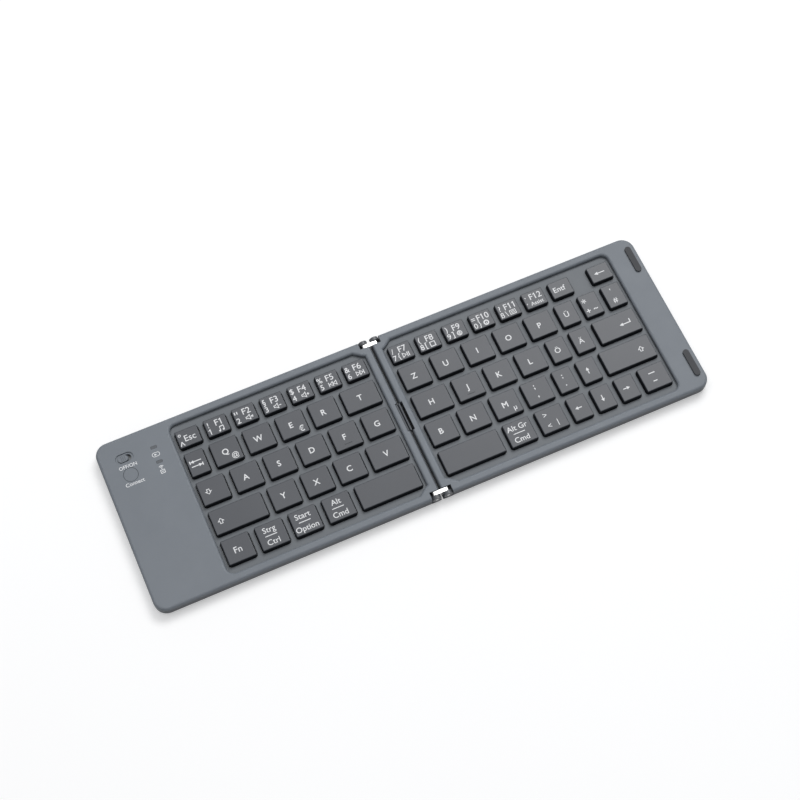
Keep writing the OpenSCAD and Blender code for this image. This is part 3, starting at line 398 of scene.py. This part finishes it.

# domes and scissors of every key group in pieces of their own, attached to their half and squeezed
# by a little play under the key
press = {"travel": 1.2 * mm, "play": 0.02 * mm}
for key in sorted(name for name in nodes if name.startswith("key")):
    low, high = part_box(key)
    side = "left" if low.x < 0 else "right"
    for kind, finish in (("domes", "silicone"), ("scissors", "scissor_plastic")):
        source = side + "_" + kind
        base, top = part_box(source)
        tall = top.z - base.z
        mesh = bmesh.new()
        mesh.from_mesh(nodes[source].data)
        mesh.transform(nodes[source].matrix_world)
        outside = []
        for face in mesh.faces:
            middle = face.calc_center_median()
            if not (low.x < middle.x < high.x and low.y < middle.y < high.y):
                outside.append(face)
        bmesh.ops.delete(mesh, geom=outside, context="FACES")
        for v in mesh.verts:
            v.co.z = base.z + (v.co.z - base.z) * (1 - press["play"] / tall)
        piece = addPiece(kind + "_" + key, mesh, finish)
        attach(piece, side + "_half")
        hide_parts(source)
        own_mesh(piece)
print("domes and scissors set under the keys")

# "heavy" and "light" are how far letters grow outwards, "line" is what widens drawn strokes,
# "capital" is the height of a capital at size one
ink = {"thickness": 0.02 * mm, "sunk": 0.01 * mm, "heavy": 0.07 * mm, "light": 0.03 * mm,
       "line": 1.3, "layer": 0.004 * mm, "capital": 0.73, "mitre": 0.35, "letter mitre": 0.6}


def addPlate(mesh, outline, z):
    # closed thin prism from an outline in metres
    low = [mesh.verts.new((x, y, z - ink["sunk"])) for x, y in outline]
    high = [mesh.verts.new((x, y, z + ink["thickness"])) for x, y in outline]
    mesh.faces.new(low[::-1])
    mesh.faces.new(high)
    for i in range(len(outline)):
        j = (i + 1) % len(outline)
        mesh.faces.new((low[i], low[j], high[j], high[i]))


def addStroke(mesh, points, z, width, closed=False):
    # mitred line with square ends
    half = width * ink["line"] / 2
    path = [Vector(p) for p in points]
    count = len(path)
    sides = [[], []]
    for i, p in enumerate(path):
        before = path[i - 1] if i or closed else None
        after = path[(i + 1) % count] if i < count - 1 or closed else None
        into = (p - before).normalized() if before is not None else (after - p).normalized()
        away = (after - p).normalized() if after is not None else into
        normal = Vector((-into.y - away.y, into.x + away.x)).normalized()
        reach = half / max(ink["mitre"], normal.dot(Vector((-into.y, into.x))))
        sides[0].append(p + normal * reach)
        sides[1].append(p - normal * reach)
    if not closed:
        addPlate(mesh, sides[1] + sides[0][::-1], z)
        return
    rings = [[mesh.verts.new((v.x, v.y, z + h)) for v in side]
             for side in sides for h in (-ink["sunk"], ink["thickness"])]
    inLow, inHigh, outLow, outHigh = rings
    for i in range(count):
        j = (i + 1) % count
        mesh.faces.new((inHigh[i], outHigh[i], outHigh[j], inHigh[j]))
        mesh.faces.new((inLow[j], outLow[j], outLow[i], inLow[i]))
        mesh.faces.new((outLow[i], outLow[j], outHigh[j], outHigh[i]))
        mesh.faces.new((inLow[j], inLow[i], inHigh[i], inHigh[j]))


def embolden(letters, weight):
    # push the outline of the flat letters outwards
    sides = {}
    for edge in letters.edges:
        if len(edge.link_faces) == 1:
            a, b = [v.co for v in edge.verts]
            out = Vector((b.y - a.y, a.x - b.x, 0)).normalized()
            if out.dot(edge.link_faces[0].calc_center_median() - a) > 0:
                out = -out
            for v in edge.verts:
                sides.setdefault(v, []).append(out)
    for v, around in sides.items():
        middle = sum(around, Vector()).normalized()
        v.co += middle * weight / max(ink["letter mitre"], middle.dot(around[0]))


def addText(mesh, text, x, y, z, height, weight, width=None):
    # a word centred on the point; the height is that of its capitals
    curve = bpy.data.curves.new("legend", "FONT")
    curve.body = text
    curve.size = height / ink["capital"]
    curve.align_x = "CENTER"
    curve.resolution_u = 3
    holder = bpy.data.objects.new("legend", curve)
    scene.collection.objects.link(holder)
    bpy.context.view_layer.update()
    flat = bpy.data.meshes.new_from_object(holder)
    bpy.data.objects.remove(holder)
    letters = bmesh.new()
    letters.from_mesh(flat)
    bpy.data.meshes.remove(flat)
    bmesh.ops.remove_doubles(letters, verts=letters.verts, dist=1e-7)
    embolden(letters, weight)
    xs = [v.co.x for v in letters.verts]
    squeeze = min(1, width / (max(xs) - min(xs))) if width else 1
    middle = (max(xs) + min(xs)) / 2
    ys = [v.co.y for v in letters.verts]
    level = height / 2 if any(c.isalnum() for c in text) else (max(ys) + min(ys)) / 2
    for v in letters.verts:
        v.co = Vector(((v.co.x - middle) * squeeze + x, v.co.y - level + y, z - ink["sunk"]))
    grown = bmesh.ops.extrude_face_region(letters, geom=letters.faces[:])["geom"]
    for v in grown:
        if isinstance(v, bmesh.types.BMVert):
            v.co.z = z + ink["thickness"]
    bmesh.ops.recalc_face_normals(letters, faces=letters.faces[:])
    part = bpy.data.meshes.new("letters")
    letters.to_mesh(part)
    letters.free()
    mesh.from_mesh(part)
    bpy.data.meshes.remove(part)


def circle(x, y, radius, count=20, start=0, end=360):
    whole = end - start == 360
    steps = count if whole else count + 1
    return [(x + radius * math.cos(math.radians(start + (end - start) * i / count)),
             y + radius * math.sin(math.radians(start + (end - start) * i / count)))
            for i in range(steps)]


def moved(points, x, y, turn, size):
    c, s = math.cos(math.radians(turn)), math.sin(math.radians(turn))
    return [(x + size * (px * c - py * s), y + size * (px * s + py * c)) for px, py in points]


# small drawn signs: ("fill" or "line" or "ring", points in mm, line width)
speaker = ("ring", [(-1.7, -0.45), (-0.9, -0.45), (0.3, -1.3), (0.3, 1.3), (-0.9, 0.45),
                    (-1.7, 0.45)], 0.28)
signs = {
    "arrow": [("line", [(-1.7, 0), (0.9, 0)], 0.36),
              ("fill", [(0.3, -0.9), (1.9, 0), (0.3, 0.9)], 0)],
    "long arrow": [("line", [(-2.8, 0), (1.6, 0)], 0.36),
                   ("fill", [(0.9, -0.9), (2.9, 0), (0.9, 0.9)], 0)],
    "flag": [("line", [(-0.8, 0.72), (0.02, 1.36)], 0.26)],
    "one": [("line", [(-0.75, 0.6), (0.15, 1.3), (0.15, -1.5)], 0.34)],
    "shift": [("ring", [(-0.6, -1.2), (0.6, -1.2), (0.6, 0), (1.35, 0), (0, 1.35), (-1.35, 0),
                        (-0.6, 0)], 0.26)],
    "tab": [("line", [(-2.1, 1.25), (2.8, 1.25)], 0.36),
            ("line", [(-2.9, 0.4), (-2.9, 2.1)], 0.42),
            ("fill", [(-2.8, 1.25), (-1, 0.4), (-1, 2.1)], 0),
            ("line", [(-2.8, -1.25), (2.1, -1.25)], 0.36),
            ("line", [(2.9, -2.1), (2.9, -0.4)], 0.42),
            ("fill", [(2.8, -1.25), (1, -0.4), (1, -2.1)], 0)],
    "quote": [("line", [(-0.6, -0.3), (-0.6, 1.2)], 0.4),
              ("line", [(0.6, -0.3), (0.6, 1.2)], 0.4)],
    "enter": [("line", [(-1.6, -0.5), (2.8, -0.5), (2.8, 1.5)], 0.4),
              ("fill", [(-3.1, -0.5), (-1.2, -1.4), (-1.2, 0.4)], 0)],
    "music": [("fill", circle(-1.0, -1.0, 0.5, 14), 0), ("fill", circle(0.9, -0.8, 0.5, 14), 0),
              ("line", [(-0.65, -1), (-0.65, 1.1)], 0.28),
              ("line", [(1.25, -0.8), (1.25, 1.3)], 0.28),
              ("fill", [(-0.79, 0.8), (1.39, 1), (1.39, 1.5), (-0.79, 1.3)], 0)],
    "mute": [speaker, ("line", [(0.9, -0.5), (1.9, 0.5)], 0.3),
             ("line", [(0.9, 0.5), (1.9, -0.5)], 0.3)],
    "quieter": [speaker, ("line", [(0.9, 0), (2, 0)], 0.32)],
    "louder": [speaker, ("line", [(0.8, 0), (2, 0)], 0.32),
               ("line", [(1.4, -0.6), (1.4, 0.6)], 0.32)],
    "back": [("line", [(-1.9, -1.2), (-1.9, 1.2)], 0.3),
             ("ring", [(-1.5, 0), (0.1, -1.1), (0.1, 1.1)], 0.26),
             ("ring", [(0.3, 0), (1.9, -1.1), (1.9, 1.1)], 0.26)],
    "next": [("ring", [(-1.9, -1.1), (-0.3, 0), (-1.9, 1.1)], 0.26),
             ("ring", [(-0.1, -1.1), (1.5, 0), (-0.1, 1.1)], 0.26),
             ("line", [(1.9, -1.2), (1.9, 1.2)], 0.3)],
    "play": [("ring", [(-1.5, -1.15), (0.3, 0), (-1.5, 1.15)], 0.26),
             ("line", [(0.9, -1.2), (0.9, 1.2)], 0.32), ("line", [(1.7, -1.2), (1.7, 1.2)], 0.32)],
    "stop": [("ring", [(-1.2, -1.2), (1.2, -1.2), (1.2, 1.2), (-1.2, 1.2)], 0.32)],
    "globe": [("ring", circle(0, 0, 1.2, 24), 0.26), ("line", [(-1.2, 0), (1.2, 0)], 0.22),
              ("line", [(0, -1.2), (0, 1.2)], 0.22), ("line", [(-0.9, 0.62), (0.9, 0.62)], 0.2),
              ("line", [(-0.9, -0.62), (0.9, -0.62)], 0.2)],
    "info": [("ring", circle(0, 0, 1.1, 24), 0.5), ("line", [(0, -0.6), (0, 0.15)], 0.3),
             ("fill", circle(0, 0.45, 0.16, 10), 0)],
    "keyboard": [("ring", [(-1.5, -1.1), (1.5, -1.1), (1.5, 1.1), (-1.5, 1.1)], 0.26),
                 ("line", [(-1, 0.4), (1, 0.4)], 0.26), ("line", [(-1, -0.35), (1, -0.35)], 0.26)],
    "bar": [("line", [(-3, 0), (3, 0)], 0.32)],
    "dash": [("line", [(-1.7, 0), (1.7, 0)], 0.4)],
    "hyphen": [("line", [(-1.1, 0), (1.1, 0)], 0.4)],
    "cell": [("ring", circle(0.7, 0, 1.05, 12, -70, 70)
              + circle(-0.9, 0, 1.05, 12, 90, 270), 0.22),
             ("fill", [(-0.9, -0.5), (0.5, 0), (-0.9, 0.5)], 0)],
    "waves": [("fill", circle(-1, 0, 0.4, 12), 0),
              ("line", circle(-1, 0, 1.05, 10, -50, 50), 0.34),
              ("line", circle(-1, 0, 1.9, 10, -50, 50), 0.34)],
    "boxed": [("ring", [(-1.1, -0.95), (1.1, -0.95), (1.1, 0.95), (-1.1, 0.95)], 0.28),
              ("line", [(-0.5, 0), (0.5, 0)], 0.34)],
}


def addSign(mesh, name, x, y, z, turn=0, size=1):
    for form, points, width in signs[name]:
        z += ink["layer"]      # strokes that cross lie on top of each other
        placed = moved(points, x, y, turn, size * mm)
        if form == "fill":
            addPlate(mesh, placed, z)
        else:
            addStroke(mesh, placed, z, width * size * mm, form == "ring")


def finishPrint(mesh, name, body):
    bmesh.ops.triangulate(mesh, faces=[f for f in mesh.faces if len(f.verts) > 4])
    bmesh.ops.recalc_face_normals(mesh, faces=mesh.faces[:])
    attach(addPiece(name, mesh, "print"), body)


# widths of the key cells in every row, outwards from the fold, in millimetres
cells = {"start": 4.95, "key": 17.2, "small": 13.1, "number": 14.742, "enter": 26.0,
         "blank": 7.364, "front": -38.85, "row": 16.2, "number row": 12.7}
rowMiddle = [cells["front"] + cells["row"] * (row + 0.5) for row in range(4)]
rowMiddle.append(cells["front"] + cells["row"] * 4 + cells["number row"] / 2)
k, s, n = cells["key"], cells["small"], cells["number"]
leftCells = [[2 * k, k, k, k, k], [1.25 * k, k, k, k, 1.75 * k], [k] * 6,
             [1.25 * k, k, k, k, k, 0.75 * k], [n] * 7]
rightCells = [[2 * k, k, k, s, s, s, k], [k, k, k, k, s, s, k + s],
              [1.25 * k, k, k, k, s, s, cells["enter"]], [k] * 5 + [s] * 3,
              [n] * 7 + [cells["blank"], n]]


def keyCentre(side, row, index):
    widths = (leftCells if side < 0 else rightCells)[row]
    across = cells["start"] + sum(widths[:index]) + widths[index] / 2
    return side * across, rowMiddle[row]


letter, title, digit, word = 3.1, 3.4, 3.0, 2.95      # capital heights in millimetres
# where the marks of a number-row key stand, in millimetres from its middle
spots = {"upper": (-3.4, 1.6), "lower": (-3.4, -2.1), "name": (1.8, 1.75), "sign": (2.2, -2.2),
         "extra": (-1.1, -2.1), "sign size": 1.02}
# the font's figure one is a bare stroke: where each of them gets its flag
flags = {"F1": [1.385], "F10": [-0.175], "F11": [0.22, 2.55], "F12": [-0.165]}


def functionName(text, x, y):
    return [(text, x, y, title)] + [("*flag", x + dx, y, 0) for dx in flags.get(text, [])]


def numberKey(upper, lower, function, sign, extra=None):
    marks = [(upper, *spots["upper"], digit), (lower, *spots["lower"], digit),
             *functionName(function, *spots["name"]),
             ("*" + sign, *spots["sign"], 0, 0, spots["sign size"])]
    return marks + ([(extra, *spots["extra"], digit)] if extra else [])


def twoWords(upper, lower):
    return [(upper, 0.1, 3.2, word), ("*bar", 0.1, 0, 0), (lower, 0.1, -3.25, word)]


# marks of every key group: the key's (side, row, place), then (text or *sign, x, y, height),
# with x and y from the middle of the key; a sign may have a turn and a size after them
legends = {
    "key_escape": [((-1, 4, 6), [("°", -3.4, 2.1, 3.9), ("^", -3.4, -2.5, 4.1),
                                 ("Esc", 1.3, -0.1, 3.4)])],
    "keys_f1_to_f6": [((-1, 4, 5), numberKey("!", "*one", "F1", "music")),
                      ((-1, 4, 4), numberKey("*quote", "2", "F2", "mute")),
                      ((-1, 4, 3), numberKey("§", "3", "F3", "quieter")),
                      ((-1, 4, 2), numberKey("$", "4", "F4", "louder")),
                      ((-1, 4, 1), numberKey("%", "5", "F5", "back")),
                      ((-1, 4, 0), numberKey("&", "6", "F6", "next"))],
    "key_tab": [((-1, 3, 5), [("*tab", 0.1, -0.1, 0)])],
    "keys_q_to_t": [((-1, 3, 4), [("Q", 0, 0, letter), ("@", 4.0, -3.6, 2.7)]),
                    ((-1, 3, 3), [("W", 0, 0, letter)]),
                    ((-1, 3, 2), [("E", 0, 0, letter), ("€", 4.3, -3.6, 3.1)]),
                    ((-1, 3, 1), [("R", 0, 0, letter)]), ((-1, 3, 0), [("T", 0, 0, letter)])],
    "key_caps_lock": [((-1, 2, 5), [("*shift", -2.0, 0.1, 0, 180)])],
    "keys_a_to_g": [((-1, 2, 4 - i), [(c, 0, 0, letter)]) for i, c in enumerate("ASDFG")],
    "key_left_shift": [((-1, 1, 4), [("*shift", -8.4, -0.1, 0)])],
    "keys_y_to_v": [((-1, 1, 3 - i), [(c, 0, 0, letter)]) for i, c in enumerate("YXCV")],
    "key_fn": [((-1, 0, 4), [("Fn", 0.2, -0.1, 3.3)])],
    "keys_ctrl_start_alt": [((-1, 0, 3), twoWords("Strg", "Ctrl")),
                            ((-1, 0, 2), twoWords("Start", "Option")),
                            ((-1, 0, 1), twoWords("Alt", "Cmd"))],
    "keys_f7_to_f12": [((1, 4, 0), numberKey("/", "7", "F7", "play", "{")),
                       ((1, 4, 1), numberKey("(", "8", "F8", "stop", "[")),
                       ((1, 4, 2), numberKey(")", "9", "F9", "globe", "]")),
                       ((1, 4, 3), numberKey("=", "0", "F10", "info", "}")),
                       ((1, 4, 4), numberKey("?", "ß", "F11", "keyboard", "\\")),
                       ((1, 4, 5), [("`", -3.8, 1.9, digit), ("´", -4.1, -1.6, digit),
                                    *functionName("F12", 1.6, 1.75), ("Assist", 1.1, -2.1, 2.1)])],
    "key_delete": [((1, 4, 6), [("Entf", -0.2, 0.1, 3.0)])],
    "key_backspace": [((1, 4, 8), [("*long arrow", 0.3, 0.1, 0, 180)])],
    "keys_z_to_p": [((1, 3, i), [(c, 0, 0, letter)]) for i, c in enumerate("ZUIOP")],
    "keys_u_umlaut_plus_hash": [
        ((1, 3, 5), [("Ü", 0, 0, 3.0)]),
        ((1, 3, 6), [("*", -2, 2.9, 4), ("+", -2, -2.9, letter), ("~", 2, -2.9, letter)]),
        ((1, 3, 7), [("'", 0, 3.7, 2.8), ("#", 0, -2.9, 2.9)])],
    "keys_h_to_l": [((1, 2, i), [(c, 0, 0, letter)]) for i, c in enumerate("HJKL")],
    "keys_o_a_umlaut": [((1, 2, 4), [("Ö", 0, 0, 3.0)]), ((1, 2, 5), [("Ä", 0, 0, 3.0)])],
    "key_enter": [((1, 2, 6), [("*enter", 4.9, 0.1, 0)])],
    "keys_b_to_m": [((1, 1, 0), [("B", 0, 0, letter)]), ((1, 1, 1), [("N", 0, 0, letter)]),
                    ((1, 1, 2), [("M", 0, 0, letter), ("µ", 4.1, -3.0, 2.8)])],
    "keys_comma_point": [((1, 1, 3), [(";", 0, 2.4, letter), (",", 0, -2.9, letter)]),
                         ((1, 1, 4), [(":", 0, 2.2, letter), (".", 0, -2.8, letter)])],
    "key_up_arrow": [((1, 1, 5), [("*arrow", 0, 0, 0, 90)])],
    "key_right_shift": [((1, 1, 6), [("*shift", 7.8, 0, 0)])],
    "keys_alt_angle": [((1, 0, 1), twoWords("Alt Gr", "Cmd")),
                       ((1, 0, 2), [(">", -1.9, 3.1, 2.8), ("<", -1.9, -2.8, 2.8),
                                    ("|", 2.7, -2.6, 2.8)])],
    "keys_lower_arrows": [((1, 0, 3), [("*arrow", 0, 0, 0, 180)]),
                          ((1, 0, 4), [("*arrow", 0, 0, 0, 270)]),
                          ((1, 0, 5), [("*arrow", 0, 0, 0)])],
    "key_minus": [((1, 0, 6), [("*dash", -0.1, 2.4, 0), ("*hyphen", -0.1, -2.1, 0)])],
}
printShift = (-0.6, -0.15)      # the marks sit a little to the front left of a key's middle
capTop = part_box("key_fn")[1].z
for group, keys in legends.items():
    printed = bmesh.new()
    for cell, marks in keys:
        x, y = [c + shift for c, shift in zip(keyCentre(*cell), printShift)]
        for mark, dx, dy, height, *more in marks:
            if mark[0] == "*" and len(mark) > 1:
                addSign(printed, mark[1:], (x + dx) * mm, (y + dy) * mm, capTop, *more)
            else:
                weight = ink["heavy"] if height == letter else ink["light"]
                addText(printed, mark, (x + dx) * mm, (y + dy) * mm, capTop, height * mm, weight)
    finishPrint(printed, "print_" + group, group + "_body")
print("legends printed on", len(legends), "key groups")

# switch and button names, and three small signs below the indicator windows
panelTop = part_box("left_top_cover")[1].z
panel = {"words": [("OFF/ON", -133.0, 29.8, 1.9, 9), ("Connect", -132.7, 20.4, 2.0, 10)],
         "signs": [("cell", 30.0, 0, 1), ("waves", 22.9, 90, 0.75), ("boxed", 20.4, 0, 0.9)],
         "column": -118.4}
panelPrint = bmesh.new()
for text, x, y, height, width in panel["words"]:
    addText(panelPrint, text, x * mm, y * mm, panelTop, height * mm, ink["light"], width * mm)
for sign, y, turn, size in panel["signs"]:
    addSign(panelPrint, sign, panel["column"] * mm, y * mm, panelTop, turn, size)
finishPrint(panelPrint, "print_panel", "left_half")
print("panel printed")

# "glow" is what the table adds for the camera, near and far away; "light" is the dim sky
studio = {"mirrored": 0.6, "glow": (0.34, 0.9), "far": (0.6, 2.4), "reach": 3,
          "tone": (0.79, 0.82), "light": (0.22, 0.225, 0.235, 1), "white": (1, 1, 1, 1)}


def seenRays(tree):
    # 1 for rays to the camera, less for mirrored rays, 0 for rays that light the keyboard
    path = addNode(tree, "ShaderNodeLightPath", -900, -300)
    dimmed = addNode(tree, "ShaderNodeMath", -700, -300,
                     {0: path.outputs["Is Glossy Ray"], 1: studio["mirrored"]},
                     operation="MULTIPLY")
    seen = addNode(tree, "ShaderNodeMath", -520, -300,
                   {0: path.outputs["Is Camera Ray"], 1: dimmed.outputs[0]},
                   operation="MAXIMUM")
    return seen.outputs[0]


def whiteTable():
    material, tree, shader = startMaterial("white table")
    place = addNode(tree, "ShaderNodeTexCoord", -700, 0)
    cloud = addNode(tree, "ShaderNodeTexNoise", -500, 0,
                    {"Vector": place.outputs["Object"], "Scale": 3})
    shade = addNode(tree, "ShaderNodeMapRange", -300, 0,
                    {"Value": cloud.outputs[0], "To Min": studio["tone"][0],
                     "To Max": studio["tone"][1]})
    away = addNode(tree, "ShaderNodeVectorMath", -500, -500, {0: place.outputs["Object"]},
                   operation="LENGTH")
    glow = addNode(tree, "ShaderNodeMapRange", -340, -500,
                   {"Value": away.outputs["Value"],
                    "From Min": studio["far"][0], "From Max": studio["far"][1],
                    "To Min": studio["glow"][0], "To Max": studio["glow"][1]})
    lift = addNode(tree, "ShaderNodeMath", -200, -300, {0: seenRays(tree), 1: glow.outputs[0]},
                   operation="MULTIPLY")
    tree.links.new(shade.outputs[0], shader.inputs["Base Color"])
    tree.links.new(lift.outputs[0], shader.inputs["Emission Strength"])
    shader.inputs["Roughness"].default_value = 0.9
    shader.inputs["Specular IOR Level"].default_value = 0
    shader.inputs["Emission Color"].default_value = studio["white"]
    return material


tableMesh = bpy.data.meshes.new("table")
corners = [(x * studio["reach"], y * studio["reach"], 0)
           for x, y in ((-1, -1), (1, -1), (1, 1), (-1, 1))]
tableMesh.from_pydata(corners, [], [(0, 1, 2, 3)])
tableMesh.materials.append(whiteTable())
table = bpy.data.objects.new("table", tableMesh)
scene.collection.objects.link(table)


def addLight(name, place, size, power):
    # a soft rectangle that looks at the middle of the keyboard
    light = bpy.data.lights.new(name, "AREA")
    light.shape = "RECTANGLE"
    light.size, light.size_y = size
    light.energy = power
    holder = bpy.data.objects.new(name, light)
    holder.location = place
    holder.rotation_euler = Vector(place).to_track_quat("Z", "Y").to_euler()
    scene.collection.objects.link(holder)


addLight("rear softbox", (1.05, 1.1, 2.0), (1.6, 1.0), 31.2)
addLight("overhead", (-0.2, 0.2, 1.7), (1.6, 1.6), 9.6)

world = bpy.data.worlds.new("studio")
scene.world = world
world.use_nodes = True
sky = world.node_tree
paper = addNode(sky, "ShaderNodeMix", -300, 0,
                {0: seenRays(sky), 6: studio["light"], 7: studio["white"]}, data_type="RGBA")
sky.links.new(paper.outputs[2], sky.nodes["Background"].inputs["Color"])

view = {"place": (-0.1319, -0.2955, 0.7531), "turn": (23.985, 0.079, -23.841), "lens": 74.75}
camera = bpy.data.objects.new("camera", bpy.data.cameras.new("camera"))
camera.location = view["place"]
camera.rotation_euler = [math.radians(a) for a in view["turn"]]
camera.data.lens = view["lens"]
scene.collection.objects.link(camera)
scene.camera = camera
scene.view_settings.view_transform = "Standard"
print("table, lights and camera set")
